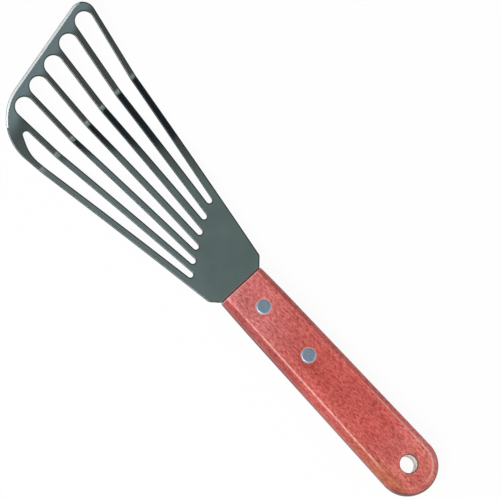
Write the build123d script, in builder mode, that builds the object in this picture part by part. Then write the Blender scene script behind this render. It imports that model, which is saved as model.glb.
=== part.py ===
from build123d import *
from math import atan, cos, degrees, radians, sin, sqrt, tan
import os

# A fish spatula: a slotted, fan-shaped blade of springy stainless sheet, whose
# half tang lies in a saw kerf in a one-piece hardwood handle and is held there
# by two cutler's rivets. Millimetres and degrees. X runs from the handle's butt
# to the blade's front edge, Z is up, and the origin is on the hang hole's axis
# at half the handle's thickness.

# Handle
handle_reach = 124.5  # from the hang hole to the end that the blade leaves
handle_thickness = 15.0
front_width = 27.2
swell_width = 28.6
swell_length = 23.5  # the front stretch in which the handle widens quickly
butt_width = 31.2
butt_setback = 0.6  # from the hang hole to the centre of the butt's round
flank_inset = 3.4  # from the side in to the crisp ridge along each flat
flank_drop = 3.0
flank_round = 6.0
ridge_round = 0.6
front_round = 0.45  # all round the end that the blade leaves
hang_hole_diameter = 9.5
hang_hole_chamfer = 0.4

# Kerf and tang
tang_length = 60.0
tang_corner = 5.0
tang_inset = 0.1  # the tang's edges lie this far inside the handle's sides
kerf_clearance = 0.05  # on each face of the sheet
kerf_spare = 1.5  # from the end of the tang to the end of the kerf
saw_diameter = 200.0
pick_tolerance = 0.05  # how near an edge lies to the place it is chosen by

# Rivets
front_rivet_setback = 15.7  # behind the handle's front end
rear_rivet_setback = 10.6  # ahead of the tang's end
head_diameter = 7.94
head_thickness = 1.8
head_bevel_width = 0.75
head_bevel_drop = 0.25
post_diameter = 3.2
post_end_gap = 1.0  # from the post's end to the floor of the socket
socket_diameter = 4.8
socket_end_gap = 0.4  # from the socket's mouth to the underside of the post's head
rivet_clearance = 0.03  # radial, between each rivet half and what it fits

# Blade sheet and its side profile
sheet_thickness = 1.0
bend_reach = 114.8  # from the handle to the bend across the blade
bend_slant = 3.8  # the bend's left end lies nearer to the handle
bend_radius = 10.0
tip_rise = 13.7  # slope of the blade ahead of the bend

# Blade outline, seen from above and measured from the handle's front end
front_edge_reach = 156.4
front_edge_slant = 13.0
side_flare = 9.0
shoulder_width = 34.4  # where the blade's sides would meet the handle's front end
shoulder_slope = 44.0
shoulder_start = 0.5
left_shoulder_round = 4.0
right_shoulder_round = 1.8
left_corner_radius = 26.0
right_corner_radius = 7.0

# Drain slots, which fan out from one point and widen towards the front
slot_count = 6
slot_pitch_angle = 3.15
fan_apex_setback = 88.7  # behind the handle's front end
slot_rear_reach = 32.6
slot_rear_step = 4.32
slot_rear_diameter = 2.9
slot_front_diameter = 9.9
front_rail = 4.3  # between the wide end of a slot and the front edge
corner_slot_front_diameter = 8.9
corner_rail = 6.9
corner_rail_turn = 21.8
corner_slot_outer_round = 20.0
corner_slot_inner_round = 1.8

# Ground bevel on top, along the front edge and round into the left corner
bevel_width = 2.0
bevel_depth = 0.7
bevel_corner_share = 0.85

overrun = 2.0  # how far cutting shapes reach past what they cut

# Places and slopes that follow from the sizes above
top = handle_thickness / 2
swell_x = handle_reach - swell_length
butt_radius = butt_width / 2
hang_hole_radius = hang_hole_diameter / 2
tang_end = handle_reach - tang_length
saw_radius = saw_diameter / 2
kerf_height = sheet_thickness + 2 * kerf_clearance
head_radius = head_diameter / 2
post_radius = post_diameter / 2
socket_radius = socket_diameter / 2
head_underside = top - head_thickness
rivet_xs = {"front_rivet": handle_reach - front_rivet_setback, "rear_rivet": tang_end + rear_rivet_setback}
rivet_places = [(x, 0) for x in rivet_xs.values()]
handle_front = Plane(origin=(handle_reach, 0, 0), x_dir=(1, 0, 0), z_dir=(0, 0, 1))


def nearest_vertex(shape, point):
    """The vertex of a sketch that lies nearest to a point."""
    return shape.vertices().sort_by_distance(point)[0]


def butt_tangent_point():
    """Where a straight line from the swell touches the round of the butt."""
    run = swell_x + butt_setback
    reach = sqrt(run**2 + (swell_width / 2) ** 2)
    swell_bearing = atan(swell_width / 2 / run)
    touch_bearing = atan(sqrt(reach**2 - butt_radius**2) / butt_radius)
    bearing = swell_bearing + touch_bearing
    return butt_radius * cos(bearing) - butt_setback, butt_radius * sin(bearing)


# Handle: one piece of hardwood, flat above and below, with a barely broken ridge
# along both edges of each flat and rounded flanks between the ridges.
with BuildPart() as handle:
    with BuildSketch():
        with BuildLine():
            side = Line(butt_tangent_point(), (swell_x, swell_width / 2))
            TangentArc(side @ 1, (handle_reach, front_width / 2), tangent=side % 1)
            TangentArc(side @ 0, (-butt_setback - butt_radius, 0), tangent=side % 0 * -1)
            Line((handle_reach, front_width / 2), (handle_reach, 0))
            mirror(about=Plane.XZ)
        make_face()
    extrude(amount=top, both=True)
    for direction in (1, -1):
        flat = handle.faces().sort_by(Axis.Z)[-1 if direction > 0 else 0]
        chamfer(flat.edges().sort_by(Axis.X)[:-1], flank_inset, flank_drop, reference=flat)
    brow = top - flank_drop
    brow_edges = handle.edges().filter_by(lambda edge: abs(abs(edge.center().Z) - brow) < pick_tolerance)
    fillet(brow_edges.sort_by(Axis.X), flank_round)
    for direction in (1, -1):
        flat = handle.faces().sort_by(Axis.Z)[-1 if direction > 0 else 0]
        fillet(flat.edges().sort_by(Axis.X)[:-1], ridge_round)
    fillet(handle.faces().sort_by(Axis.X)[-1].edges(), front_round)
    # Saw kerf for the tang, with the round end that a circular saw leaves.
    with BuildSketch():
        with Locations((tang_end - kerf_spare + saw_radius, 0)):
            Circle(saw_radius)
    extrude(amount=kerf_height / 2, both=True, mode=Mode.SUBTRACT)
    # Rivet holes, with a flat-bottomed seat for a head at each end.
    with Locations(*rivet_places):
        Hole(socket_radius + rivet_clearance)
    for direction in (1, -1):
        with BuildSketch(Plane.XY.offset(direction * top)):
            with Locations(*rivet_places):
                Circle(head_radius + rivet_clearance)
        extrude(amount=-direction * head_thickness, mode=Mode.SUBTRACT)
    # Hang hole, with its rims broken.
    Hole(hang_hole_radius)
    rims = handle.edges().filter_by(GeomType.CIRCLE).filter_by(
        lambda edge: abs(edge.radius - hang_hole_radius) < pick_tolerance
    )
    chamfer(rims, hang_hole_chamfer)
handle.part.label = "handle"

# Where the blade's outline turns, measured from the handle's front end.
neck = front_width / 2 - tang_inset
side_slope = tan(radians(side_flare))
front_slope = tan(radians(front_edge_slant))
shoulder_rise = tan(radians(shoulder_slope))
shoulder_half = shoulder_width / 2
shoulder_x = (shoulder_half - neck + shoulder_start * shoulder_rise) / (shoulder_rise - side_slope)
left_corner_x = (front_edge_reach - front_slope * shoulder_half) / (1 + front_slope * side_slope)
right_corner_x = (front_edge_reach + front_slope * shoulder_half) / (1 - front_slope * side_slope)


def blade_side(x):
    """Half the width between the blade's straight sides, at a distance from the handle."""
    return shoulder_half + side_slope * x


left_shoulder = (shoulder_x, blade_side(shoulder_x))
right_shoulder = (shoulder_x, -blade_side(shoulder_x))
left_corner = (left_corner_x, blade_side(left_corner_x))
right_corner = (right_corner_x, -blade_side(right_corner_x))

# The sheet's middle plane leaves the handle level, curves down in one long arch
# until its underside is level with the handle's, and turns up at the bend. Its side
# view is drawn square to the bend, from the handle's front end.
slant = radians(bend_slant)
side_view = Plane(origin=(handle_reach, 0, 0), x_dir=(cos(slant), sin(slant), 0), z_dir=(sin(slant), -cos(slant), 0))
bend_drop = top - sheet_thickness / 2
bend_distance = bend_reach * cos(slant)
arch_angle = 2 * degrees(atan(bend_drop / bend_distance))
arch_radius = bend_distance / sin(radians(arch_angle)) - bend_radius
tip_length = 2 * (front_edge_reach - bend_reach)
tip_normal = side_view.x_dir * -sin(radians(tip_rise)) + Vector(0, 0, cos(radians(tip_rise)))

# Half the tang's width at its end, just inside the handle's side there.
side_foot_x, side_foot_y = butt_tangent_point()
side_taper = (side_foot_y - swell_width / 2) / (swell_x - side_foot_x)
tang_half = swell_width / 2 + side_taper * (tang_length - swell_length) - tang_inset

# The corner slot is cut short square to a spoke of the left corner's round.
side_setback = left_corner_radius / cos(radians(side_flare))
front_setback = left_corner_radius / cos(radians(front_edge_slant))
corner_centre_x = front_edge_reach - front_setback - front_slope * (shoulder_half - side_setback)
corner_centre_x /= 1 + front_slope * side_slope
corner_centre_y = blade_side(corner_centre_x) - side_setback
spoke = left_corner_radius - corner_rail
spoke_direction = Vector(sin(radians(corner_rail_turn)), cos(radians(corner_rail_turn)))
corner_cut = Vector(corner_centre_x, corner_centre_y) + spoke_direction * spoke


def sheet_face(height):
    """Side view of one face of the sheet, at a height above its middle plane."""
    tang = Line((-tang_length - overrun, height), (0, height))
    arch = JernArc(tang @ 1, tang % 1, arch_radius + height, -arch_angle)
    bend = JernArc(arch @ 1, arch % 1, bend_radius - height, arch_angle + tip_rise)
    return tang, PolarLine(bend @ 1, tip_length, direction=bend % 1)


def slot_centres(index):
    """Centres of a slot's narrow rear end and wide front end."""
    place = index - (slot_count - 1) / 2
    lean = tan(radians(place * slot_pitch_angle))
    rear_x = slot_rear_reach + slot_rear_step / 2 - slot_rear_step * (place + 1 / 2)
    inset = (front_rail + slot_front_diameter / 2) / cos(radians(front_edge_slant))
    front_x = front_edge_reach - inset - front_slope * fan_apex_setback * lean
    front_x /= 1 + front_slope * lean
    return [(x, (x + fan_apex_setback) * lean) for x in (rear_x, front_x)]


# Blade: head, neck and half tang stamped from one sheet of stainless steel.
with BuildPart() as blade:
    with BuildSketch(side_view):
        with BuildLine():
            lower_tang, lower_tip = sheet_face(-sheet_thickness / 2)
            upper_tang, upper_tip = sheet_face(sheet_thickness / 2)
            Line(lower_tang @ 0, upper_tang @ 0)
            Line(lower_tip @ 1, upper_tip @ 1)
        make_face()
    extrude(amount=front_edge_reach, both=True)
    # Outline of the tang, shoulders, straight sides, front edge and its corners.
    with BuildSketch(handle_front) as outline:
        with BuildLine():
            for hand, shoulder in ((1, left_shoulder), (-1, right_shoulder)):
                swell = (-swell_length, hand * (swell_width / 2 - tang_inset))
                tang_side = Line((-tang_length, hand * tang_half), swell)
                TangentArc(swell, (0, hand * neck), tangent=tang_side % 1)
                Line((-tang_length, 0), (-tang_length, hand * tang_half))
                Polyline((0, hand * neck), (shoulder_start, hand * neck), shoulder)
            Polyline(left_shoulder, left_corner, right_corner, right_shoulder)
        make_face()
        fillet(nearest_vertex(outline, left_shoulder), left_shoulder_round)
        fillet(nearest_vertex(outline, right_shoulder), right_shoulder_round)
        fillet(nearest_vertex(outline, left_corner), left_corner_radius)
        fillet(nearest_vertex(outline, right_corner), right_corner_radius)
        for hand in (1, -1):
            fillet(nearest_vertex(outline, (-tang_length, hand * tang_half)), tang_corner)
    extrude(amount=front_edge_reach, both=True, mode=Mode.INTERSECT)
    # Ground bevel: a wedge carried along the front edge and part of the left corner,
    # which then leaves the corner on its tangent, so that the bevel runs out.
    tip_top = blade.faces().sort_by(lambda face: face.normal_at().dot(tip_normal))[-1]
    edge_line = tip_top.edges().filter_by(GeomType.LINE).sort_by(Axis.X)[-1]
    right_end, left_end = edge_line.vertices().sort_by(Axis.Y)
    along = (Vector(left_end) - Vector(right_end)).normalized()
    corner_curve = tip_top.edges().filter_by(GeomType.ELLIPSE).sort_by(Axis.Y)[-1]
    if (corner_curve @ 0 - Vector(left_end)).length > overrun:
        corner_curve = corner_curve.reversed()
    corner_curve = corner_curve.trim(0, bevel_corner_share)
    with BuildLine() as bevel_path:
        Line(Vector(right_end) - along * right_corner_radius, left_end)
        add(corner_curve)
        Line(corner_curve @ 1, corner_curve @ 1 + corner_curve % 1 * left_corner_radius)
    wedge_plane = Plane(bevel_path.line @ 0, x_dir=along.cross(tip_normal), z_dir=along)
    with BuildSketch(wedge_plane):
        with BuildLine():
            foot = bevel_depth * (1 + overrun / bevel_width)
            Polyline(
                (-bevel_width, 0),
                (overrun, foot),
                (overrun, -overrun),
                (-bevel_width, -overrun),
                close=True,
            )
        make_face()
    sweep(path=bevel_path.line, mode=Mode.SUBTRACT)
    # Drain slots. The one beside the left corner is cut short along a slanting line.
    for index in range(slot_count):
        rear, front = slot_centres(index)
        beside_corner = index == slot_count - 1
        front_diameter = corner_slot_front_diameter if beside_corner else slot_front_diameter
        with BuildSketch(handle_front) as slot:
            with Locations(rear):
                Circle(slot_rear_diameter / 2)
            with Locations(front):
                Circle(front_diameter / 2)
            make_hull()
            if beside_corner:
                cut_place = Location(corner_cut, (0, 0, -corner_rail_turn))
                with Locations(cut_place):
                    Rectangle(
                        2 * left_corner_radius,
                        2 * left_corner_radius,
                        align=(Align.CENTER, Align.MIN),
                        mode=Mode.SUBTRACT,
                    )
                on_cut = slot.vertices().filter_by(
                    lambda vertex: abs((Vector(vertex) - corner_cut).dot(spoke_direction)) < pick_tolerance
                )
                inner, outer = on_cut.sort_by(Axis.Y)
                outer_place = Vector(outer)
                fillet(inner, corner_slot_inner_round)
                fillet(nearest_vertex(slot, outer_place), corner_slot_outer_round)
        extrude(amount=front_edge_reach, both=True, mode=Mode.SUBTRACT)
    # Rivet holes in the tang.
    with Locations(*rivet_places):
        Hole(socket_radius + rivet_clearance)
blade.part.label = "blade"

os.makedirs("parts", exist_ok=True)
for piece in (handle, blade):
    export_step(piece.part, f"parts/{piece.part.label}.step")

# Rivets: a post with a head on top, driven into a socket with a head underneath.
for name, rivet_x in rivet_xs.items():
    axis = Axis((rivet_x, 0, 0), (0, 0, 1))
    section = Plane(origin=(rivet_x, 0, 0), x_dir=(1, 0, 0), z_dir=(0, -1, 0))
    rim = [
        (head_radius - head_bevel_width, top),
        (head_radius, top - head_bevel_drop),
        (head_radius, head_underside),
    ]
    with BuildPart() as post:
        with BuildSketch(section):
            with BuildLine():
                end = post_end_gap - head_underside
                Polyline(
                    (0, top),
                    *rim,
                    (post_radius, head_underside),
                    (post_radius, end),
                    (0, end),
                    close=True,
                )
            make_face()
        revolve(axis=axis)
    post.part.label = f"{name}_post"
    with BuildPart() as socket:
        with BuildSketch(section):
            with BuildLine():
                bore = post_radius + rivet_clearance
                mouth = socket_end_gap - head_underside
                Polyline(
                    (0, top),
                    *rim,
                    (socket_radius, head_underside),
                    (socket_radius, mouth),
                    (bore, mouth),
                    (bore, head_underside),
                    (0, head_underside),
                    close=True,
                )
            make_face()
            mirror(about=Plane.XZ, mode=Mode.REPLACE)
        revolve(axis=axis)
    socket.part.label = f"{name}_socket"
    for half in (post, socket):
        export_step(half.part, f"parts/{half.part.label}.step")
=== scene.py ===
import bpy
import numpy as np
from mathutils import Matrix, Vector


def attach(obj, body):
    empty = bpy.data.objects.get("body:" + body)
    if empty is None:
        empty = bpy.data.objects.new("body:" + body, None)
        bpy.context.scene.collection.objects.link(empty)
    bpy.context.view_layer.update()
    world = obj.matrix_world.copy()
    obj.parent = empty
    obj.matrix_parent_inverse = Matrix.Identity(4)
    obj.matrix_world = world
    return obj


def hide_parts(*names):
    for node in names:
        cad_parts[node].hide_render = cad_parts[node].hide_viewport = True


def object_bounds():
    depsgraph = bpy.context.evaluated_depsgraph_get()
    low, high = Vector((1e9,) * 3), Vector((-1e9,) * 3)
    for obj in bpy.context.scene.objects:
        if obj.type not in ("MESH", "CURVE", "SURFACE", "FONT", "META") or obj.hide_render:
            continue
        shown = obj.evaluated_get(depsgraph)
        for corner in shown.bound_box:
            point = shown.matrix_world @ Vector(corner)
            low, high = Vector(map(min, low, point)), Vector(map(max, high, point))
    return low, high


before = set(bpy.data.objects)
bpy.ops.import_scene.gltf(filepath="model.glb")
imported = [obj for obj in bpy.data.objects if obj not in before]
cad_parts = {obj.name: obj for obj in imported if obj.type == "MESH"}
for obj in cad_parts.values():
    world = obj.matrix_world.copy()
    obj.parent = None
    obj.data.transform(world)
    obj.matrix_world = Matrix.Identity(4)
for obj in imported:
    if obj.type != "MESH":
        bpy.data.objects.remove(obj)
cad_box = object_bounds()

# Blade: head, neck and half tang stamped from one sheet of springy stainless steel.
# It is bent in a press, its cut edges are tumbled round, and a thin bevel is ground
# along its front edge. The tang lies in the handle's kerf and the rivets go through it.
handle_front = 124.5  # from the hang hole to the wood's front end, mm
sheet_thickness = 1.0
arch_drop = 7.0
bend_slant = np.radians(3.8)  # the bend's left end lies nearer to the handle
bend_reach = 114.8 * np.cos(bend_slant)
bend_radius = 10.0
tip_rise = np.radians(13.7)
arch_angle = 2 * np.arctan(arch_drop / bend_reach)
arch_radius = bend_reach / np.sin(arch_angle) - bend_radius
front_edge_reach = 156.4
front_heading = 13.0
front_slant = np.radians(front_heading)
side_flare = np.radians(9.0)
shoulder_half = 17.2
shoulder_rise = np.radians(44.0)
shoulder_start = 0.5
left_shoulder_round = 4.0
right_shoulder_round = 1.8
neck_half = 13.5
tang_length = 60.0
tang_half = 14.67
tang_corner = 5.0
swell_length = 23.5
swell_half = 14.2
sharp_corner = 0.05
left_corner_radius = 26.0
right_corner_radius = 7.0
slot_count = 6
slot_pitch = np.radians(3.15)
fan_apex_setback = 88.7
slot_rear_reach = 34.76
slot_rear_step = 4.32
slot_rear_radius = 1.45
slot_front_radius = 4.95
corner_slot_radius = 4.45
front_rail = 4.3
corner_rail = 6.9
corner_cut_heading = 68.2
corner_outer_round = 20.0
corner_inner_round = 1.8
corner_tip_heading = 42.0
rear_heading = 212.0
edge_round = 0.34
edge_width = 0.65
rivet_hole_radius = 2.43
rivet_hole_xs = (-15.7, -49.4)
millimetre = 0.001


def turned(headings):
    """Unit vectors at these headings: cosine and sine of the angle from +X towards +Y."""
    angles = np.radians(np.asarray(headings, float))
    return np.stack([np.cos(angles), np.sin(angles)], -1)


def meeting(point, along, other_point, other_along):
    """Where two lines meet: the first point plus as much of its direction as reaches the
    second line."""
    gap = np.subtract(other_point, point)
    turn = along[0] * other_along[1] - along[1] * other_along[0]
    return point + along * (gap[0] * other_along[1] - gap[1] * other_along[0]) / turn


def rounded_outline(corners, radii, arc_points=49):
    """A closed path with rounded corners. Each corner becomes an arc that touches both its
    sides at radius x tan(turn / 2) from the corner. Gives points, unit normals to the left,
    the distance run at each point, and the runs at which each arc starts and ends."""
    corners = np.array(corners, float)
    radii = np.array(radii, float)
    ahead = np.roll(corners, -1, 0) - corners
    ahead /= np.linalg.norm(ahead, axis=1)[:, None]
    behind = np.roll(ahead, 1, 0)
    heading = np.arctan2(behind[:, 1], behind[:, 0])
    turn = (np.arctan2(ahead[:, 1], ahead[:, 0]) - heading + np.pi) % (2 * np.pi) - np.pi
    reach = radii * np.tan(abs(turn) / 2)
    side = (np.sign(turn) * radii)[:, None]
    centres = corners - behind * reach[:, None] + np.stack([-behind[:, 1], behind[:, 0]], -1) * side
    angles = heading[:, None] + turn[:, None] * np.linspace(0, 1, arc_points) + np.pi / 2
    normals = np.stack([np.cos(angles), np.sin(angles)], -1)
    points = centres[:, None] - normals * side[:, :, None]
    points = points.reshape(-1, 2)
    steps = np.linalg.norm(np.diff(points, axis=0), axis=1)
    runs = np.concatenate([[0], np.cumsum(steps)])
    starts, ends = runs[::arc_points], runs[arc_points - 1 :: arc_points]
    return points, normals.reshape(-1, 2), runs, starts, ends


side_slope = np.tan(side_flare)
front_slope = np.tan(front_slant)
shoulder_x = (shoulder_half - neck_half + shoulder_start * np.tan(shoulder_rise)) / (
    np.tan(shoulder_rise) - side_slope
)
left_x = (front_edge_reach - front_slope * shoulder_half) / (1 + front_slope * side_slope)
right_x = (front_edge_reach + front_slope * shoulder_half) / (1 - front_slope * side_slope)
tang_slope = (tang_half - swell_half) / (tang_length - swell_length)
swell_run = np.array([swell_length, neck_half - swell_half])
swell_along = np.array([1, -tang_slope]) / np.hypot(1, tang_slope)
swell_reach = swell_run @ swell_run / (2 * swell_run @ swell_along)
swell_across = swell_along[1] * swell_run[0] - swell_along[0] * swell_run[1]
swell_radius = swell_run @ swell_run / (2 * swell_across)
swell_corner = np.array([-swell_length, swell_half]) + swell_along * swell_reach
left_side = [
    ((left_x, shoulder_half + side_slope * left_x), left_corner_radius),
    ((shoulder_x, shoulder_half + side_slope * shoulder_x), left_shoulder_round),
    ((shoulder_start, neck_half), sharp_corner),
    (tuple(swell_corner), abs(swell_radius)),
    ((-tang_length, tang_half), tang_corner),
]
right_side = [
    ((-tang_length, -tang_half), tang_corner),
    (tuple(swell_corner * (1, -1)), abs(swell_radius)),
    ((shoulder_start, -neck_half), sharp_corner),
    ((shoulder_x, -shoulder_half - side_slope * shoulder_x), right_shoulder_round),
    ((right_x, -shoulder_half - side_slope * right_x), right_corner_radius),
]
corner_places, corner_radii = zip(*(right_side + left_side))
path_points, path_normals, path_runs, arc_starts, arc_ends = rounded_outline(
    corner_places, corner_radii
)
fine_count = 24001
fine_runs = np.linspace(0, path_runs[-1], fine_count)
RIGHT_TANG, RIGHT_SWELL, RIGHT_NECK, RIGHT_SHOULDER, RIGHT_CORNER = range(5)
LEFT_CORNER, LEFT_SHOULDER, LEFT_NECK, LEFT_SWELL, LEFT_TANG = range(5, 10)


def along_outline(runs):
    """Points of the outline and its unit normals into the sheet, at these distances run."""
    points = np.stack([np.interp(runs, path_runs, path_points[:, axis]) for axis in (0, 1)], -1)
    normals = np.stack([np.interp(runs, path_runs, path_normals[:, axis]) for axis in (0, 1)], -1)
    return points, normals / np.linalg.norm(normals, axis=-1)[..., None]


fine_points = along_outline(fine_runs)[0]


def nearest_run(point):
    """The distance run at the outline's nearest point."""
    return fine_runs[np.argmin(np.linalg.norm(fine_points - point, axis=1))]


def toward_bend(plan):
    """Distance ahead of the handle's front end, measured square to the slanting bend."""
    return plan[..., 0] * np.cos(bend_slant) + plan[..., 1] * np.sin(bend_slant)


def sheet_height(plan, height):
    """Z of the face that lies this high above the middle plane. Level along the tang, then
    an arch of radius R + h, a bend of radius r - h the other way, and a straight slope."""
    x = toward_bend(plan)
    arch_end = (arch_radius + height) * np.sin(arch_angle)
    arch = np.arcsin(np.clip(x, 0, arch_end) / (arch_radius + height))
    inner = bend_radius - height
    reach = np.clip(x - bend_reach, -inner * np.sin(arch_angle), inner * np.sin(tip_rise))
    bend = np.arcsin(reach / inner)
    slope = np.maximum(x - bend_reach - inner * np.sin(tip_rise), 0) * np.tan(tip_rise)
    rise = (arch_radius + height) * np.cos(arch) - arch_radius
    return rise + inner * (np.cos(arch_angle) - np.cos(bend)) + slope


def sheet_lean(plan):
    """Slope angle of the middle plane: minus the arch's angle, then the bend's."""
    x = toward_bend(plan)
    arch = np.arcsin(np.clip(x, 0, arch_radius * np.sin(arch_angle)) / arch_radius)
    share = np.clip((x - bend_reach) / bend_radius, -np.sin(arch_angle), np.sin(tip_rise))
    return np.arcsin(share) + arch_angle - arch


def on_sheet(plan, height):
    """Points in mm over plan positions, at a height between the sheet's two faces."""
    low = sheet_height(plan, -sheet_thickness / 2)
    high = sheet_height(plan, sheet_thickness / 2)
    z = low + (high - low) * (height / sheet_thickness + 0.5)
    return np.concatenate([plan, z[..., None]], -1)


def sheet_normals(plan, inward, outward_share, up_share):
    """Unit normals: minus the inward direction and the sheet's own up, in these shares."""
    lean = sheet_lean(plan)
    back = -np.sin(lean)
    up = np.stack([back * np.cos(bend_slant), back * np.sin(bend_slant), np.cos(lean)], -1)
    out = np.concatenate([-inward, np.zeros_like(inward[..., :1])], -1)
    normal = out * outward_share[..., None] + up * up_share[..., None]
    return normal / np.linalg.norm(normal, axis=-1)[..., None]


side_setback = left_corner_radius / np.cos(side_flare)
front_setback = left_corner_radius / np.cos(front_slant)
centre_x = front_edge_reach - front_setback - front_slope * (shoulder_half - side_setback)
centre_x /= 1 + front_slope * side_slope
left_corner_centre = np.array([centre_x, shoulder_half + side_slope * centre_x - side_setback])

# Rows of the mesh round each arc of a slot, along its straight side and along the corner
# slot's cut end, and columns across a strip.
rear_round_rows = 10
front_round_rows = 14
outer_round_rows = 16
inner_round_rows = 8
straight_rows = 170
cut_rows = 6
columns = 6
rows_beside_slot = rear_round_rows + straight_rows + front_round_rows


def slot_arcs(index):
    """The arcs that bound a drain slot, the left side's and the right side's: centre, radius,
    the heading of its normal where the arc starts and ends, and its rows."""
    place = index - (slot_count - 1) / 2
    lean = np.tan(place * slot_pitch)
    heading = np.degrees(place * slot_pitch)
    rear_x = slot_rear_reach - slot_rear_step * (place + 0.5)
    inset = (front_rail + slot_front_radius) / np.cos(front_slant)
    front_x = front_edge_reach - inset - front_slope * fan_apex_setback * lean
    front_x /= 1 + front_slope * lean
    rear = np.array([rear_x, (rear_x + fan_apex_setback) * lean])
    front = np.array([front_x, (front_x + fan_apex_setback) * lean])
    radius = slot_front_radius if index < slot_count - 1 else corner_slot_radius
    spread = 90 + np.degrees(np.arcsin((radius - slot_rear_radius) / np.linalg.norm(front - rear)))
    left, right = heading + spread, heading - spread
    left_rear = (rear, slot_rear_radius, rear_heading, left, rear_round_rows)
    right_rear = (rear, slot_rear_radius, rear_heading, right + 360, rear_round_rows)
    if index < slot_count - 1:
        return (
            [left_rear, (front, radius, left, front_heading, front_round_rows)],
            [right_rear, (front, radius, right, front_heading, front_round_rows)],
        )
    cut = turned(corner_cut_heading)
    along_cut = turned(corner_cut_heading + 90)
    cut_point = left_corner_centre + cut * (left_corner_radius - corner_rail)
    rounds = []
    for side_heading, radius in ((left, corner_outer_round), (right, corner_inner_round)):
        out = turned(side_heading)
        # The centre lies a radius inside both the slot's side and the cut line.
        side_line = rear + out * (slot_rear_radius - radius)
        cut_line = cut_point - cut * radius
        rounds.append(meeting(side_line, turned(side_heading + 90), cut_line, along_cut))
    outer, inner = rounds
    return (
        [
            left_rear,
            (outer, corner_outer_round, left, corner_cut_heading, outer_round_rows),
            (inner, corner_inner_round, corner_cut_heading, corner_tip_heading, inner_round_rows),
        ],
        [right_rear, (inner, corner_inner_round, right, corner_tip_heading, front_round_rows)],
    )


def slot_side(arcs, rows=rows_beside_slot):
    """One side of a slot from its rear tip to its front tip: arcs joined by straight lines.
    Gives points, normals into the sheet, and the rows at which arcs start and end."""
    spare = rows - sum(arc[4] for arc in arcs)
    gaps = [spare] if len(arcs) == 2 else [spare - cut_rows, cut_rows]
    points, normals, marks = [], [], [0]
    for number, (centre, radius, first, last, count) in enumerate(arcs):
        normal = turned(np.linspace(first, last, count + 1))
        point = centre + normal * radius
        if number:
            share = np.linspace(0, 1, gaps[number - 1] + 1)[1:-1, None]
            points.append(points[-1][-1] * (1 - share) + point[0] * share)
            normals.append(np.repeat(normal[:1], len(share), 0))
            marks.append(marks[-1] + gaps[number - 1])
        points.append(point)
        normals.append(normal)
        marks.append(marks[-1] + count)
    return np.concatenate(points), np.concatenate(normals), marks


slot_sides = [[slot_side(arcs) for arcs in slot_arcs(index)] for index in range(slot_count)]
# The corner slot's right side ends level with the start of its neighbour's front round.
slot_sides[-1][1] = slot_side(slot_arcs(slot_count - 1)[1], rows_beside_slot - front_round_rows)
tip_runs = [nearest_run(left[0][-1]) for left, right in slot_sides]

rear_line_reach = 6.6  # from a slot's rear tip to the outline, along the staggered rear ends


def outline_column(stops, counts, side, tip_run):
    """Runs down one side of the outline, in step with the rows between it and a slot: evenly
    spaced between stops, then between the outline's nearest points to the slot's arc ends. On
    the left the first of them lies back along the line of the slots' staggered rear ends."""
    points, _, marks = side
    first = points[0] + turned(rear_heading - 90) * rear_line_reach * (points[0, 1] > 0)
    beside = [first] + [points[mark] for mark in marks[1:-1]]
    stops = [*stops, *(nearest_run(point) for point in beside), tip_run]
    counts = [*counts, *np.diff(marks)]
    pieces = [np.linspace(a, b, n + 1)[:-1] for a, b, n in zip(stops[:-1], stops[1:], counts)]
    return np.concatenate(pieces + [stops[-1:]])


def middle_of(corner):
    """The run at the middle of a corner's arc."""
    return (arc_starts[corner] + arc_ends[corner]) / 2


tang_counts = [6, 12, 9, 1, 3, 8, 8]
right_runs = outline_column(
    [
        arc_starts[RIGHT_TANG], arc_ends[RIGHT_TANG], arc_starts[RIGHT_SWELL],
        arc_ends[RIGHT_SWELL], middle_of(RIGHT_NECK), arc_starts[RIGHT_SHOULDER],
        arc_ends[RIGHT_SHOULDER],
    ],
    tang_counts, slot_sides[0][1], tip_runs[0],
)
left_runs = outline_column(
    [
        arc_ends[LEFT_TANG], arc_starts[LEFT_TANG], arc_ends[LEFT_SWELL],
        arc_starts[LEFT_SWELL], middle_of(LEFT_NECK), arc_ends[LEFT_SHOULDER],
        arc_starts[LEFT_SHOULDER],
    ],
    tang_counts, slot_sides[-1][0], tip_runs[-1],
)
tang_rows = sum(tang_counts)
neck_row = sum(tang_counts[:4])

# The ground bevel runs out part of the way round each corner. Its width at a distance run is
# this share of the full one.
bevel_share_at = np.array([
    [arc_starts[RIGHT_CORNER], 0.0],
    [arc_ends[RIGHT_CORNER] - 5.5, 0.0],
    [arc_ends[RIGHT_CORNER] - 2.7, 0.74],
    [arc_ends[RIGHT_CORNER], 1.0],
    [arc_ends[LEFT_CORNER] - 36.0, 1.0],
    [arc_ends[LEFT_CORNER] - 30.0, 0.85],
    [arc_ends[LEFT_CORNER] - 25.0, 0.62],
    [arc_ends[LEFT_CORNER] - 21.0, 0.4],
    [arc_ends[LEFT_CORNER] - 16.0, 0.0],
])


def bevel_share(runs):
    """Share of the bevel's full width at these runs, straight between known ones."""
    return np.interp(runs, bevel_share_at[:, 0], bevel_share_at[:, 1])


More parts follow.
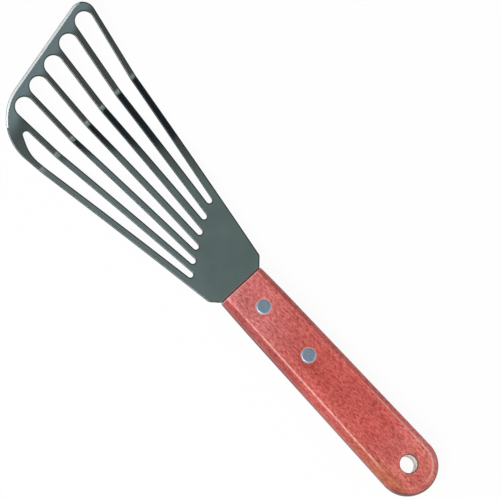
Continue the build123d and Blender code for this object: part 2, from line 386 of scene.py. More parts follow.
# Profile across a cut edge, from the top face round to the bottom one: distance in from the
# edge, height above the middle plane, and the share of the normal that points outwards and
# up. First where the edge is only tumbled, then where it is ground.
quarter = np.radians([0, 22.5, 45, 67.5, 90])
flank = sheet_thickness / 2 - edge_round
round_in = edge_width * (1 - np.sin(quarter))
round_up = flank + edge_round * np.cos(quarter)
tumbled = np.stack([
    np.concatenate([round_in, round_in[::-1]]),
    np.concatenate([round_up, -round_up[::-1]]),
    np.concatenate([np.sin(quarter), np.sin(quarter)[::-1]]),
    np.concatenate([np.cos(quarter), -np.cos(quarter)[::-1]]),
], -1)
ground = np.array([
    [1.42, 0.5, 0, 1],
    [1.32, 0.479, 0.42, 0.9],
    [0.75, 0.17, 0.42, 0.9],
    [0.22, -0.102, 0.42, 0.9],
    [0.05, -0.19, 0.75, 0.66],
    [0, -0.26, 1, 0],
    [0, -0.38, 1, 0],
    [0.04, -0.46, 0.7, -0.7],
    [0.1, -0.492, 0.35, -0.94],
    [0.16, -0.5, 0, -1],
])


def profile_at(share):
    """The edge's profile, straight between the tumbled and the ground one."""
    share = np.asarray(share, float)[..., None, None]
    return tumbled * (1 - share) + ground * share


blocks = []
SHEET, BEVEL, CUT = range(3)  # the blade's finishes, in the order of its materials
bevel_bands = 3  # of the ground profile, from the top face down
least_bevel = 0.12  # share of the full width below which the grinding isn't seen


def add_block(points, normals, material=SHEET, upside_down=False, keep=None):
    """Keeps a grid of points for the mesh, with its normals, and squares between them."""
    rows, count = points.shape[:2]
    numbers = np.arange(rows * count).reshape(rows, count)
    squares = np.stack([numbers[:-1, :-1], numbers[1:, :-1], numbers[1:, 1:], numbers[:-1, 1:]], -1)
    squares = squares[keep] if keep is not None else squares.reshape(-1, 4)
    if upside_down:
        squares = squares[:, ::-1]
    blocks.append((points.reshape(-1, 3), normals.reshape(-1, 3), squares, material))


def add_face(plan, up, keep=None):
    """A patch of the top face (up is 1) or the underside (-1) over these plan positions."""
    level = np.zeros(plan.shape[:2])
    facing = sheet_normals(plan, np.zeros_like(plan), level, up + level)
    add_block(on_sheet(plan, up * sheet_thickness / 2 + level), facing, SHEET, up < 0, keep)


def add_edge(points, normals, shares):
    """The rounded edge along a closed loop: each profile point lies its distance in along
    the loop's normal. Where the profile is ground, the bevel has its own finish."""
    points, normals = np.concatenate([points, points[:1]]), np.concatenate([normals, normals[:1]])
    shares = np.concatenate([shares, shares[:1]])
    profile = profile_at(shares)
    plan = points[:, None] + normals[:, None] * profile[..., :1]
    inward = np.broadcast_to(normals[:, None], plan.shape)
    placed = on_sheet(plan, profile[..., 1])
    facing = sheet_normals(plan, inward, profile[..., 2], profile[..., 3])
    beveled = (shares[:-1] > least_bevel) & (shares[1:] > least_bevel)
    is_bevel = np.zeros((len(points) - 1, profile.shape[1] - 1), bool)
    is_bevel[beveled, :bevel_bands] = True
    # The loop runs along the rows, so the squares are turned to face away from the sheet.
    add_block(placed, facing, CUT, True, ~is_bevel)
    add_block(placed, facing, BEVEL, True, is_bevel)


seam_ys = np.array([-8.0, -6.2, -4.4, 4.4, 6.2, 8.0])
hole_margin = 1.0
hole_rows = 3
sections = ((1, 0), (-1, -1))  # the top face and the underside, with the profile's end at each


def tang_side(runs, edge):
    """A side of the outline, moved in by the edge's width."""
    points, normals = along_outline(runs)
    return points + normals * profile_at(bevel_share(runs))[:, edge, :1]


def seam(index, edge, mean_xs):
    """The line from the tang's end to a slot's rear tip, level with the rows beside it."""
    tip = slot_sides[index][0][0][0] + slot_sides[index][0][1][0] * tumbled[edge, 0]
    start = -tang_length + tumbled[edge, 0]
    xs = start + (mean_xs - mean_xs[0]) * (tip[0] - start) / (mean_xs[-1] - mean_xs[0])
    share = np.clip((mean_xs - mean_xs[neck_row]) / (mean_xs[-1] - mean_xs[neck_row]), 0, 1)
    return np.stack([xs, seam_ys[index] * (1 - share) + tip[1] * share], -1)


for up, edge in sections:
    right_column = tang_side(right_runs, edge)
    left_column = tang_side(left_runs, edge)
    mean_xs = (right_column[: tang_rows + 1, 0] + left_column[: tang_rows + 1, 0]) / 2
    grown = tumbled[edge, 0]
    seams = [seam(index, edge, mean_xs) for index in range(slot_count)]
    halves = [[side[0] + side[1] * grown for side in sides] for sides in slot_sides]
    for strip in range(slot_count + 1):
        across = np.linspace(0, 1, columns + 1 if strip else 2 * columns + 1)
        if strip:
            right = np.concatenate([seams[strip - 1][:-1], halves[strip - 1][0]])
        else:
            right = right_column
        if strip < slot_count:
            left = np.concatenate([seams[strip][:-1], halves[strip][1]])
        else:
            left = left_column
        right = right[: len(left)]
        plan = right[:, None] * (1 - across[:, None]) + left[:, None] * across[:, None]
        if 0 < strip < slot_count - 1:
            # Ahead of the slots the strips spread until they meet the front edge.
            front_runs = np.linspace(tip_runs[strip - 1], tip_runs[strip], columns + 1)
            front_line = tang_side(front_runs, edge)
            ahead = np.linspace(0, 1, 2 * columns + 1)[1:, None, None]
            plan = np.concatenate([plan, plan[-1] * (1 - ahead) + front_line * ahead])
        if strip == slot_count - 1:
            # Ahead of the corner slot a patch with four sides reaches the corner. It is the
            # mean between each two facing sides, less the mean between its four corners.
            round_side = halves[strip - 1][0][-front_round_rows - 1 :, None]
            corner_runs = np.linspace(tip_runs[strip], tip_runs[strip - 1], front_round_rows + 1)
            corner_side = tang_side(corner_runs, edge)[:, None]
            tip_line = plan[-1, -1] * (1 - across[1:, None]) + corner_side[0] * across[1:, None]
            rear_side = np.concatenate([plan[-1], tip_line])
            down = np.linspace(0, 1, front_round_rows + 1)[:, None, None]
            over = np.linspace(0, 1, 2 * columns + 1)[:, None]
            corner_line = round_side[0] * (1 - over) + corner_side[0] * over
            patch = round_side * (1 - over) + corner_side * over
            add_face(patch + (rear_side - corner_line) * (1 - down), up)
        keep = np.ones((plan.shape[0] - 1, plan.shape[1] - 1), bool)
        if strip == slot_count // 2:
            for hole_x in rivet_hole_xs:
                reach = rivet_hole_radius + hole_margin
                middle_xs = plan[:, columns // 2, 0]
                first = np.flatnonzero(middle_xs < hole_x - reach)[-1]
                last = np.flatnonzero(middle_xs > hole_x + reach)[0]
                keep[first:last] = False
                around = np.concatenate([
                    plan[first, :-1], plan[first:last, -1], plan[last, :0:-1],
                    plan[last:first:-1, 0], plan[first, :1],
                ])
                centre = np.array([hole_x, 0.0])
                away = around - centre
                rim = centre + away / np.linalg.norm(away, axis=1)[:, None] * rivet_hole_radius
                inward = np.linspace(0, 1, hole_rows + 1)[:, None, None]
                add_face(around * (1 - inward) + rim * inward, up)
                if up > 0:
                    wall = np.stack([rim, rim])
                    heights = np.array([[0.5], [-0.5]]) * sheet_thickness + np.zeros(len(rim))
                    toward = (wall - centre) / rivet_hole_radius
                    facing = sheet_normals(wall, toward, heights * 0 + 1, heights * 0)
                    add_block(on_sheet(wall, heights), facing)
        add_face(plan, up, keep)

for left, right in slot_sides:
    loop = np.concatenate([left[0], right[0][-2:0:-1]])
    loop_normals = np.concatenate([left[1], right[1][-2:0:-1]])
    add_edge(loop, loop_normals, np.zeros(len(loop)))

front_counts = [columns] * (slot_count - 2) + [front_round_rows]
front_runs = np.concatenate([
    np.linspace(a, b, n + 1)[1:] for a, b, n in zip(tip_runs[:-1], tip_runs[1:], front_counts)
])
outline_runs = np.concatenate([right_runs, front_runs, left_runs[-2::-1]])
loop, loop_normals = along_outline(outline_runs)
end_ys = np.concatenate([[loop[0, 1]], seam_ys, [loop[-1, 1]]])
end_counts = [2 * columns] + [columns] * slot_count
end_ys = np.concatenate([
    np.linspace(a, b, n + 1)[:-1] for a, b, n in zip(end_ys[:-1], end_ys[1:], end_counts)
])
end_line = np.stack([np.full(len(end_ys) - 1, -tang_length), end_ys[:0:-1]], -1)
loop = np.concatenate([loop, end_line])
loop_normals = np.concatenate([loop_normals, np.broadcast_to([1.0, 0.0], end_line.shape)])
loop_shares = np.concatenate([bevel_share(outline_runs), np.zeros(len(end_line))])
add_edge(loop, loop_normals, loop_shares)


cells_per_mm = 1000  # points in the same cell are one point
cell_offset = 0.137  # keeps round numbers away from the cells' borders


def mesh_from_blocks(name, parts):
    """One mesh from grids of points: points that fall together become one, and each keeps
    the normal that was worked out for it."""
    firsts = np.cumsum([0] + [len(part[0]) for part in parts[:-1]])
    points = np.concatenate([part[0] for part in parts])
    normals = np.concatenate([part[1] for part in parts])
    squares = np.concatenate([part[2] + first for part, first in zip(parts, firsts)])
    finishes = np.concatenate([np.full(len(part[2]), part[3]) for part in parts])
    cells = np.floor(points * cells_per_mm + cell_offset).astype(np.int64)
    _, kept, merged = np.unique(cells, axis=0, return_index=True, return_inverse=True)
    squares = merged.reshape(-1)[squares]
    mesh = bpy.data.meshes.new(name)
    mesh.from_pydata(points[kept] * millimetre, [], squares.tolist())
    mesh.polygons.foreach_set("material_index", finishes.astype(np.int32))
    mesh.shade_smooth()
    mesh.normals_split_custom_set_from_vertices(normals[kept])
    return mesh


for number, (points, normals, squares, material) in enumerate(blocks):
    blocks[number] = (points + (handle_front, 0, 0), normals, squares, material)
blade = bpy.data.objects.new("slotted_blade", mesh_from_blocks("slotted_blade", blocks))
bpy.context.scene.collection.objects.link(blade)


def linear(hex_colour):
    """An sRGB hex colour as linear light: c / 12.92 up to 0.04045, and above that
    ((c + 0.055) / 1.055) ^ 2.4."""
    channels = np.array([int(hex_colour[start : start + 2], 16) / 255 for start in (0, 2, 4)])
    light = np.where(channels <= 0.04045, channels / 12.92, ((channels + 0.055) / 1.055) ** 2.4)
    return (*light.tolist(), 1.0)


def set_inputs(node, *values, **named):
    """Gives a node its inputs. Values go to the sockets in use, in their order (a Mix: share,
    then both ends; a MapRange: value, from, to), and named ones to the sockets of that name,
    with underscores for spaces. A node or an output is linked, and anything else is set."""
    pairs = list(zip([socket for socket in node.inputs if socket.enabled], values))
    pairs += [(node.inputs[name.replace("_", " ")], value) for name, value in named.items()]
    for socket, value in pairs:
        if isinstance(value, bpy.types.Node):
            value = next(output for output in value.outputs if output.enabled)
        if isinstance(value, bpy.types.NodeSocket):
            node.id_data.links.new(value, socket)
        else:
            socket.default_value = value


def add_node(material, kind, *values, **named):
    """Adds a node with its inputs. A dictionary ahead of the values holds its settings."""
    node = material.node_tree.nodes.new("ShaderNode" + kind)
    if values and isinstance(values[0], dict):
        for setting, value in values[0].items():
            setattr(node, setting, value)
        values = values[1:]
    set_inputs(node, *values, **named)
    return node


smooth = {"interpolation_type": "SMOOTHSTEP"}
colour_mix = {"data_type": "RGBA"}
tint_mix = {"data_type": "RGBA", "blend_type": "MULTIPLY"}
product, product_plus = {"operation": "MULTIPLY"}, {"operation": "MULTIPLY_ADD"}
larger, smaller = {"operation": "MAXIMUM"}, {"operation": "MINIMUM"}
difference, unsigned = {"operation": "SUBTRACT"}, {"operation": "ABSOLUTE"}
length = {"operation": "LENGTH"}


def new_material(name):
    """A material with a Principled surface, ready for its pattern."""
    material = bpy.data.materials.new(name)
    material.use_nodes = True
    return material, material.node_tree.nodes["Principled BSDF"]


# Satin stainless sheet: a fine grain along the blade from the belt, seen as faint streaks in
# smooth dark reflections, a painted highlight along the bend, and paler where pans have scoured it.
steel, steel_surface = new_material("satin_stainless_sheet")
place = add_node(steel, "TexCoord").outputs["Object"]
x, y, _ = add_node(steel, "SeparateXYZ", Vector=place).outputs
grain_scale = add_node(steel, "Mapping", Vector=place, Scale=(60, 2200, 900))
grain = add_node(steel, "TexNoise", Vector=grain_scale, Scale=1.0, Detail=4.0, Roughness=0.6)
clouds = add_node(steel, "TexNoise", Vector=place, Scale=70.0, Detail=3.0, Roughness=0.55)
# How far a place lies out toward the front edge, in metres: straight out from the line
# through the left corner's centre, and round that centre once past it.
corner_x, corner_y = left_corner_centre + (handle_front, 0)
corner_centre = Vector((corner_x, corner_y, 0)) * millimetre
squared_up = add_node(
    steel, "VectorRotate", {"rotation_type": "Z_AXIS"},
    Vector=add_node(steel, "VectorMath", difference, place, corner_centre),
    Angle=-float(front_slant),
)
ahead_x, aside_y, _ = add_node(steel, "SeparateXYZ", Vector=squared_up).outputs
past_centre = add_node(steel, "Math", larger, aside_y, 0.0)
outward = add_node(
    steel, "VectorMath", length, add_node(steel, "CombineXYZ", X=ahead_x, Y=past_centre)
)
near_edge = add_node(
    steel, "MapRange", smooth, outward, (left_corner_radius - 13) * millimetre,
    (left_corner_radius - 5) * millimetre,
)
in_front = add_node(steel, "MapRange", smooth, ahead_x, 6 * millimetre, 19 * millimetre)
scoured = add_node(steel, "Math", product, near_edge, in_front)
# Painted highlight: the sheet is painted paler along the bend, whose line slants, to brighten
# the bend's reflection.
bend_highlight_line = handle_front + 115.1
across_bend = add_node(steel, "Math", product_plus, y, float(np.tan(bend_slant)), x)
from_bend = add_node(
    steel, "Math", unsigned,
    add_node(steel, "Math", difference, across_bend, bend_highlight_line * millimetre),
)
bend_highlight = add_node(steel, "MapRange", smooth, from_bend, 2.6 * millimetre, 0.9 * millimetre)
mixed = add_node(steel, "Mix", 0.5, grain, clouds)
rough = add_node(steel, "MapRange", mixed, 0.3, 0.7, 0.025, 0.045)
worn_rough = add_node(steel, "Math", product_plus, scoured, 0.3, rough)
shade = add_node(steel, "Mix", colour_mix, clouds, linear("B4BFBB"), linear("DADFDC"))
bend_highlight_shade = add_node(steel, "Mix", colour_mix, bend_highlight, shade, linear("E6EAE9"))
worn_shade = add_node(steel, "Mix", colour_mix, scoured, bend_highlight_shade, linear("B0C6CA"))
# Painted shadow and reflection: a thin dark red band on the sheet where it leaves the wood
# stands in for the wood's shadow and its red reflection in the steel.
joint_shadow = add_node(
    steel, "MapRange", smooth, x, (handle_front + 1.4) * millimetre,
    (handle_front + 0.7) * millimetre, 0.0, 0.95,
)
joint_shadowed_shade = add_node(steel, "Mix", colour_mix, joint_shadow, worn_shade, linear("702820"))
relief = add_node(steel, "Bump", Strength=0.02, Distance=0.03 * millimetre, Height=grain)
# The painted shadow band is made less metallic too.
metal_outside_joint_shadow = add_node(steel, "MapRange", joint_shadow, To_Min=1.0, To_Max=0.0)
set_inputs(
    steel_surface, Base_Color=joint_shadowed_shade, Metallic=metal_outside_joint_shadow, Roughness=worn_rough, Normal=relief
)

# Freshly ground bevel: coarse scratches straight across it scatter the light, so it
# looks pale and even from most sides.
ground_steel, ground_surface = new_material("ground_stainless_bevel")
place = add_node(ground_steel, "TexCoord").outputs["Object"]
scratch_scale = add_node(ground_steel, "Mapping", Vector=place, Scale=(120, 1300, 120))
scratches = add_node(ground_steel, "TexNoise", Vector=scratch_scale, Scale=1.0, Detail=3.0)
scratch_shade = add_node(
    ground_steel, "Mix", colour_mix, scratches, linear("E0E4E6"), linear("F4F6F6")
)
set_inputs(ground_surface, Base_Color=scratch_shade, Metallic=1.0, Roughness=0.62)

# Sheared edges: the press tore the metal a little and tumbling left it dull, and their dark
# colour is painted shade along the outlines of the sheet.
sheared_steel, sheared_surface = new_material("sheared_stainless_edge")
place = add_node(sheared_steel, "TexCoord").outputs["Object"]
tear_scale = add_node(sheared_steel, "Mapping", Vector=place, Scale=(1500, 1500, 300))
tears = add_node(sheared_steel, "TexNoise", Vector=tear_scale, Scale=1.0, Detail=2.0)
painted_edge_shade = add_node(sheared_steel, "Mix", colour_mix, tears, linear("484E50"), linear("666C6E"))
set_inputs(sheared_surface, Base_Color=painted_edge_shade, Metallic=1.0, Roughness=0.32)

for finish in (steel, ground_steel, sheared_steel):
    blade.data.materials.append(finish)
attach(blade, "root")
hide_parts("blade")

# Handle: one piece of close-grained hardwood, stained red, shaped on a router with a crisp
# ridge along each flat, then lacquered to a satin. Its kerf holds the tang.


def rivet_distance(material, x, y):
    """Distance from the nearer rivet's axis: the length of (the smaller of the two distances
    along the handle, y)."""
    ahead, behind = (
        add_node(
            material, "Math", unsigned,
            add_node(material, "Math", difference, x, (handle_front + hole_x) * millimetre),
        )
        for hole_x in rivet_hole_xs
    )
    nearer = add_node(material, "Math", smaller, ahead, behind)
    return add_node(material, "VectorMath", length, add_node(material, "CombineXYZ", X=nearer, Y=y))


def finish_node(name, material):
    """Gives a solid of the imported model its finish."""
    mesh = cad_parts[name].data
    mesh.materials.clear()
    mesh.materials.append(material)


wood, wood_surface = new_material("stained_lacquered_hardwood")
place = add_node(wood, "TexCoord").outputs["Object"]
x, y, z = add_node(wood, "SeparateXYZ", Vector=place).outputs
# Growth bands a few millimetres wide that run along the handle and wander a little.
band_scale = add_node(wood, "Mapping", Vector=place, Scale=(9, 95, 60))
bands = add_node(
    wood, "TexNoise", Vector=band_scale, Scale=1.0, Detail=4.0, Roughness=0.6, Distortion=0.6
)
band_share = add_node(wood, "MapRange", bands, 0.3, 0.7)
stain = add_node(wood, "Mix", colour_mix, band_share, linear("B04038"), linear("D66159"))
# Painted sheen and wear: the stain is painted paler near the blade, more so on the left,
# as the light's sheen, and is worn paler near the butt.
blotches = add_node(wood, "TexNoise", Vector=place, Scale=55.0, Detail=4.0, Roughness=0.6)
near_blade = add_node(wood, "MapRange", smooth, x, 0.068, 0.118)
near_left = add_node(wood, "MapRange", smooth, y, -0.012, 0.009, 0.35, 1.0)
near_butt = add_node(wood, "MapRange", smooth, x, 0.024, -0.006, 0.0, 0.8)
sheen_and_wear = add_node(
    wood, "Math", larger, add_node(wood, "Math", product, near_blade, near_left), near_butt
)
sheen_and_wear_share = add_node(
    wood, "Math", product, sheen_and_wear, add_node(wood, "MapRange", blotches, 0.35, 0.6, 0.45, 1.0)
)
sheen_and_wear_colour = add_node(wood, "Mix", colour_mix, near_butt, linear("E48686"), linear("DF7462"))
paled = add_node(wood, "Mix", colour_mix, sheen_and_wear_share, stain, sheen_and_wear_colour)
# Painted shade: toward the butt the left flank is painted browner and darker, where it turns
# from the light.
left_butt_shade = add_node(
    wood, "Math", product, add_node(wood, "MapRange", smooth, x, 0.05, 0.0),
    add_node(wood, "MapRange", smooth, y, 0.0078, 0.012),
)
butt_shaded = add_node(wood, "Mix", colour_mix, left_butt_shade, paled, linear("B05438"))
# Fibre: pale and deep red streaks a millimetre wide and two long, over blotches a
# centimetre wide.
fibre_scale = add_node(wood, "Mapping", Vector=place, Scale=(450, 1050, 1050))
fibre = add_node(wood, "TexNoise", Vector=fibre_scale, Scale=1.0, Detail=4.0, Roughness=0.7)
fibre_share = add_node(wood, "MapRange", fibre, 0.36, 0.64)
fibre_tint = add_node(
    wood, "Mix", colour_mix, fibre_share, (0.8, 0.42, 0.42, 1.0), (1.16, 1.72, 1.72, 1.0)
)
fibred = add_node(wood, "Mix", tint_mix, 1.0, butt_shaded, fibre_tint)
blotch_tone = add_node(wood, "MapRange", blotches, 0.3, 0.7, 0.88, 1.12)
toned = add_node(wood, "Mix", tint_mix, 1.0, fibred, blotch_tone)
# Open pores: dark flecks two millimetres long, drawn two thirds of a millimetre wide,
# which is coarser than real ones, so that they can be seen.
pore_scale = add_node(wood, "Mapping", Vector=place, Scale=(480, 1350, 1350))
pores = add_node(wood, "TexNoise", Vector=pore_scale, Scale=1.0, Detail=2.0, Roughness=0.5)
pore_mask = add_node(wood, "MapRange", pores, 0.57, 0.68, 0.0, 0.65)
pored = add_node(wood, "Mix", colour_mix, pore_mask, toned, linear("701414"))
# How far a place lies past the ridge, whose distance from the middle line narrows from the
# butt's round to the blade. Behind the round's centre it runs round that centre.
round_centre_x = -0.0006
past_butt = add_node(
    wood, "Math", smaller, add_node(wood, "Math", difference, x, round_centre_x), 0.0
)
from_middle = add_node(wood, "VectorMath", length, add_node(wood, "CombineXYZ", X=past_butt, Y=y))
narrowing = add_node(wood, "MapRange", x, round_centre_x, 0.101, 0.0122, 0.0109)
past_ridge = add_node(wood, "Math", difference, from_middle, narrowing)
off_ridge = add_node(wood, "Math", unsigned, past_ridge)
# Painted shade: the middle of the flanks, along the widest line, is painted dark.
from_widest = add_node(wood, "Math", unsigned, z)
darkest_butt = add_node(wood, "MapRange", smooth, x, 0.006, -0.008, 0.5, 0.92)
darkest_front = add_node(wood, "MapRange", smooth, x, 0.05, 0.09, 0.5, 0.75)
flank_shade_strength = add_node(wood, "Math", larger, darkest_butt, darkest_front)
near_widest = add_node(wood, "MapRange", smooth, from_widest, 0.0036, 0.0004)
flank_shade = add_node(wood, "Math", product, near_widest, flank_shade_strength)
# Painted shade: the butt's rim past the ridge is painted darkest.
at_butt = add_node(wood, "MapRange", smooth, x, -0.001, -0.007, 0.0, 0.9)
butt_rim_shade = add_node(
    wood, "Math", product, at_butt, add_node(wood, "MapRange", smooth, past_ridge, 0.0019, 0.0031)
)
painted_shade = add_node(wood, "Math", larger, flank_shade, butt_rim_shade)
shaded = add_node(wood, "Mix", colour_mix, painted_shade, pored, linear("4C1612"))
# Painted highlight: a pale line along the ridge, wider toward the butt, stands in for its glint.
line_reach = add_node(wood, "MapRange", smooth, x, 0.02, 0.002, 0.0007, 0.0012)
ridge_line = add_node(wood, "MapRange", smooth, off_ridge, line_reach, 0.0002)
right_side = add_node(wood, "MapRange", smooth, y, 0.002, -0.004)
right_front = add_node(wood, "MapRange", smooth, x, 0.03, 0.05)
left_rear = add_node(wood, "MapRange", smooth, x, 0.02, 0.004)
kept = add_node(wood, "Mix", right_side, left_rear, right_front)
highlight_strength = add_node(wood, "MapRange", kept, To_Min=0.95, To_Max=0.12)
patchy = add_node(wood, "MapRange", fibre, 0.35, 0.62, 0.4, 1.0)
highlight_fades_front = add_node(wood, "MapRange", smooth, x, 0.118, 0.098)
ridge_highlight = add_node(
    wood, "Math", product, add_node(wood, "Math", product, ridge_line, highlight_strength),
    add_node(wood, "Math", product, patchy, highlight_fades_front),
)
# Painted light and shade past the ridge: the right flank is painted paler toward the butt, and
# both flanks are painted darker and redder near the blade, against the lacquer's sheen.
on_flank = add_node(wood, "MapRange", smooth, past_ridge, 0.0, 0.0006)
left_shade_share = add_node(wood, "MapRange", x, 0.045, 0.115)
left_flank_shade_tint = add_node(
    wood, "Mix", colour_mix, left_shade_share, (0.92, 0.9, 0.92, 1.0), (0.52, 0.25, 0.23, 1.0)
)
right_flank_light_and_shade_tint = add_node(
    wood, "Mix", colour_mix, near_blade, (1.3, 1.15, 1.14, 1.0), (0.98, 0.58, 0.52, 1.0)
)
flank_light_and_shade_tint = add_node(wood, "Mix", colour_mix, right_side, left_flank_shade_tint, right_flank_light_and_shade_tint)
flank_lit_and_shaded = add_node(wood, "Mix", tint_mix, on_flank, shaded, flank_light_and_shade_tint)
ridge_highlighted = add_node(wood, "Mix", colour_mix, ridge_highlight, flank_lit_and_shaded, linear("EDA69D"))
# Painted highlight: a pale ring round each rivet and a pale line along the front edge stand in
# for their glints.
rivet_ring_highlight = add_node(wood, "MapRange", smooth, rivet_distance(wood, x, y), 0.0044, 0.0041, 0.0, 0.4)
front_edge_highlight = add_node(
    wood, "MapRange", smooth, x, (handle_front - 0.9) * millimetre,
    (handle_front - 0.3) * millimetre, 0.0, 0.4,
)
painted_highlights = add_node(wood, "Math", larger, rivet_ring_highlight, front_edge_highlight)
highlighted = add_node(wood, "Mix", colour_mix, painted_highlights, ridge_highlighted, linear("EDBBB4"))
# Painted light and shade in the hang hole: the wall is painted dark under the upper rim and
# nearly white below.
hole_distance = add_node(wood, "VectorMath", length, add_node(wood, "CombineXYZ", X=x, Y=y))
in_hole = add_node(wood, "MapRange", smooth, hole_distance, 0.0051, 0.0048)
hole_upper_shade = add_node(wood, "MapRange", smooth, z, 0.0035, 0.005)
hole_light_and_shade = add_node(wood, "Mix", colour_mix, hole_upper_shade, linear("FBF3EA"), linear("2E120D"))
coloured = add_node(wood, "Mix", colour_mix, in_hole, highlighted, hole_light_and_shade)
open_pores = add_node(
    wood, "Bump", {"invert": True}, Strength=0.25, Distance=0.06 * millimetre, Height=pore_mask
)
set_inputs(
    wood_surface, Base_Color=coloured, Normal=open_pores, Roughness=0.48, IOR=1.45,
    Coat_Weight=0.06, Coat_Roughness=0.3,
)
finish_node("handle", wood)

# Cutler's rivets: a post driven into a socket, both of plated steel with flat heads that
# are set in the wood. The rim is painted pale as a highlight and the face is dulled by washing.
rivet_steel, rivet_surface = new_material("dulled_plated_steel")
place = add_node(rivet_steel, "TexCoord").outputs["Object"]
tarnish = add_node(rivet_steel, "TexNoise", Vector=place, Scale=900.0, Detail=4.0, Roughness=0.6)
tarnish_shade = add_node(
    rivet_steel, "Mix", colour_mix, tarnish, linear("849AB2"), linear("BED0E2")
)
# Painted highlight: the rim is painted paler and greyer than the face, and is duller.
x, y, _ = add_node(rivet_steel, "SeparateXYZ", Vector=place).outputs
from_axis = rivet_distance(rivet_steel, x, y)
at_rim = add_node(rivet_steel, "MapRange", smooth, from_axis, 0.0034, 0.0037)
rim_highlight_colour = add_node(rivet_steel, "Mix", colour_mix, at_rim, tarnish_shade, linear("C2BCC0"))
rim_roughness = add_node(rivet_steel, "MapRange", at_rim, To_Min=0.45, To_Max=0.8)
rim_metal = add_node(rivet_steel, "MapRange", at_rim, To_Min=1.0, To_Max=0.5)
set_inputs(rivet_surface, Base_Color=rim_highlight_colour, Metallic=rim_metal, Roughness=rim_roughness)
for name in ("front_rivet_post", "front_rivet_socket", "rear_rivet_post", "rear_rivet_socket"):
    finish_node(name, rivet_steel)

# Floor: a plain white table that the spatula lies on. To the camera and in reflections it
# is mostly plain white, and the rest of it takes the object's soft shadow.
table_half = 6.0
table_height = cad_box[0][2] - 0.1 * millimetre
table_corners = np.array([[-1, -1, 0], [1, -1, 0], [1, 1, 0], [-1, 1, 0]]) * table_half
floor_mesh = bpy.data.meshes.new("floor")
floor_mesh.from_pydata(table_corners + (0, 0, table_height), [], [(0, 1, 2, 3)])
floor = bpy.data.objects.new("floor", floor_mesh)
bpy.context.scene.collection.objects.link(floor)
paper, paper_surface = new_material("plain_white_table")
set_inputs(paper_surface, Base_Color=(0.9, 0.9, 0.9, 1), Roughness=1.0, Specular_IOR_Level=0.0)
ray = add_node(paper, "LightPath")
seen = add_node(paper, "Math", larger, ray.outputs["Is Camera Ray"], ray.outputs["Is Glossy Ray"])
seen = add_node(paper, "Math", larger, seen, ray.outputs["Is Transmission Ray"])
glow_share = add_node(paper, "Math", product, seen, 0.95)
glow = add_node(paper, "Emission", Color=(1, 1, 1, 1), Strength=1.0)
blend = add_node(paper, "MixShader", glow_share, paper_surface, glow)
set_inputs(paper.node_tree.nodes["Material Output"], Surface=blend)
floor.data.materials.append(paper)

# Room: dim overhead, so that the steel looks dark from above, with a soft pale patch that
# the bend catches, and brighter low down all round. x, y and z are parts of the direction
# looked in, of length 1.
scene = bpy.context.scene
world = bpy.data.worlds.new("dim_room")
scene.world = world
world.use_nodes = True
direction = add_node(world, "TexCoord").outputs["Generated"]
x, y, z = add_node(world, "SeparateXYZ", Vector=direction).outputs

# Overhead the room is dim green-grey behind the spatula's tip and paler over its neck, and
# both are a little paler toward the spatula's left.
tip_to_left = add_node(world, "MapRange", smooth, y, -0.199, -0.184)
over_tip = add_node(
    world, "Mix", colour_mix, tip_to_left, (0.094, 0.1, 0.097, 1), (0.12, 0.142, 0.139, 1)
)
neck_to_left = add_node(world, "MapRange", smooth, y, -0.172, -0.158)
over_neck = add_node(
    world, "Mix", colour_mix, neck_to_left, (0.162, 0.209, 0.206, 1), (0.194, 0.236, 0.242, 1)
)
toward_neck = add_node(world, "MapRange", smooth, x, -0.36, -0.1)
overhead = add_node(world, "Mix", colour_mix, toward_neck, over_tip, over_neck)
# A pale strip that only the bend catches, weaker toward the spatula's right.
strip_front = add_node(world, "MapRange", smooth, x, -0.3, -0.13)
strip_back = add_node(world, "MapRange", smooth, x, 0.03, -0.06)
strip_right = add_node(world, "MapRange", smooth, y, -0.21, -0.188, 0.1, 1.0)
strip_left = add_node(world, "MapRange", smooth, y, -0.174, -0.183, 0.6, 1.0)
strip_along = add_node(world, "Math", product, strip_front, strip_back)
strip_across = add_node(world, "Math", product, strip_right, strip_left)
strip = add_node(world, "Math", product, strip_along, strip_across)
overhead = add_node(world, "Mix", colour_mix, strip, overhead, (0.3, 0.345, 0.335, 1))
# A dark card ahead and to the right, whose slanting edge the arch of the blade mirrors.
card_line = add_node(world, "Math", product_plus, x, 0.345, -0.253)
inside_line = add_node(world, "Math", difference, card_line, y)
# Close to the card the room is darker and warmer, except toward the spatula's left.
near_card = add_node(world, "MapRange", inside_line, -0.024, 0.0)
card_right = add_node(world, "MapRange", smooth, y, -0.155, -0.169)
card_shade = add_node(world, "Math", product, near_card, card_right)
overhead = add_node(world, "Mix", colour_mix, card_shade, overhead, (0.085, 0.09, 0.088, 1))
card_side = add_node(world, "MapRange", smooth, inside_line, -0.002, 0.002)
card_end = add_node(world, "MapRange", smooth, x, 0.22, 0.232)
card = add_node(world, "Math", product, card_side, card_end)
overhead = add_node(world, "Mix", colour_mix, card, overhead, (0.018, 0.022, 0.028, 1))
# Low down all round the walls are pale.
low_down = add_node(world, "MapRange", smooth, z, 0.88, 0.6)
toward_left = add_node(world, "MapRange", smooth, y, -0.6, 0.5)
walls = add_node(
    world, "Mix", colour_mix, toward_left, (0.14, 0.14, 0.145, 1), (0.56, 0.56, 0.56, 1)
)
shown_room = add_node(world, "Mix", colour_mix, low_down, overhead, walls)
ray = add_node(world, "LightPath")
shown = add_node(world, "Mix", colour_mix, ray.outputs["Is Camera Ray"], shown_room, (1, 1, 1, 1))
set_inputs(world.node_tree.nodes["Background"], Color=shown, Strength=1.0)

spatula_middle = Vector((0.13, 0, 0))


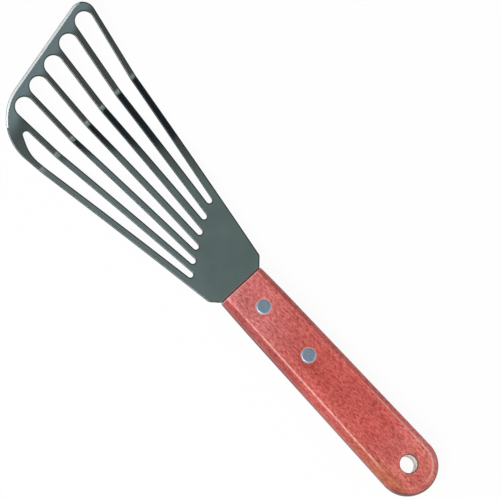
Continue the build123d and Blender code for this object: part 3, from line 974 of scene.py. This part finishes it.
def softbox(name, bearing, elevation, distance, size, irradiance):
    """A softbox that faces the spatula's middle. Its power is pi x pi x distance squared x
    its share of the light on a surface that faces it."""
    data = bpy.data.lights.new(name, "AREA")
    data.shape = "RECTANGLE"
    data.size, data.size_y = size
    data.energy = np.pi**2 * distance**2 * irradiance
    lamp = bpy.data.objects.new(name, data)
    across, up = np.radians(bearing), np.radians(elevation)
    away = Vector((np.cos(up) * np.cos(across), np.cos(up) * np.sin(across), np.sin(up)))
    facing = away.to_track_quat("Z", "Y").to_matrix().to_4x4()
    lamp.matrix_world = Matrix.Translation(spatula_middle + away * distance) @ facing
    scene.collection.objects.link(lamp)


softbox("key_softbox", 95, 55, 1.2, (0.8, 0.5), 0.78)
softbox("butt_softbox", 215, 42, 1.1, (0.3, 0.3), 0.12)
softbox("front_softbox", 5, 35, 1.2, (0.5, 0.5), 0.12)

# Camera: above the handle, tipped a little towards the spatula's right, with the blade to
# the upper left of the picture as in the photograph.
picture_size = 500
pixel = 0.5115  # mm on the plane through the handle's middle
junction_pixel = (241.0, 286.05)
turn = np.radians(47.18)
tilt_across = np.radians(10.5)
tilt_along = np.radians(-1.5)
camera_distance = 1700.0
sin_along, cos_along = np.sin(tilt_along), np.cos(tilt_along)
sin_across, cos_across = np.sin(tilt_across), np.cos(tilt_across)
toward = np.array([sin_along, sin_across * cos_along, cos_across * cos_along])
# The spatula's own length and width as the camera sees them, in the scene and in the picture.
seen_length = np.array([cos_along, -sin_across * sin_along, -cos_across * sin_along])
seen_width = np.array([0, cos_across, -sin_across])
drawn_length = np.array([np.cos(turn), np.sin(turn)])
drawn_width = np.array([drawn_length[1], -drawn_length[0]])
offset = picture_size / 2 - np.array(junction_pixel)
target = np.array([handle_front, 0, 0])
target = target - offset @ drawn_length * pixel * seen_length
target = target - offset @ drawn_width * pixel * seen_width
right_axis = -(drawn_length[0] * seen_length + drawn_width[0] * seen_width)
up_axis = drawn_length[1] * seen_length + drawn_width[1] * seen_width
sensor_width = 36.0
camera_data = bpy.data.cameras.new("camera")
camera_data.sensor_width = sensor_width
camera_data.lens = sensor_width * camera_distance / (picture_size * pixel)
camera_data.clip_end = 50.0
camera = bpy.data.objects.new("camera", camera_data)
pose = Matrix(np.stack([right_axis, up_axis, toward], -1).tolist()).to_4x4()
pose.translation = Vector((target + toward * camera_distance) * millimetre)
camera.matrix_world = pose
scene.collection.objects.link(camera)
scene.camera = camera
scene.view_settings.view_transform = "Standard"
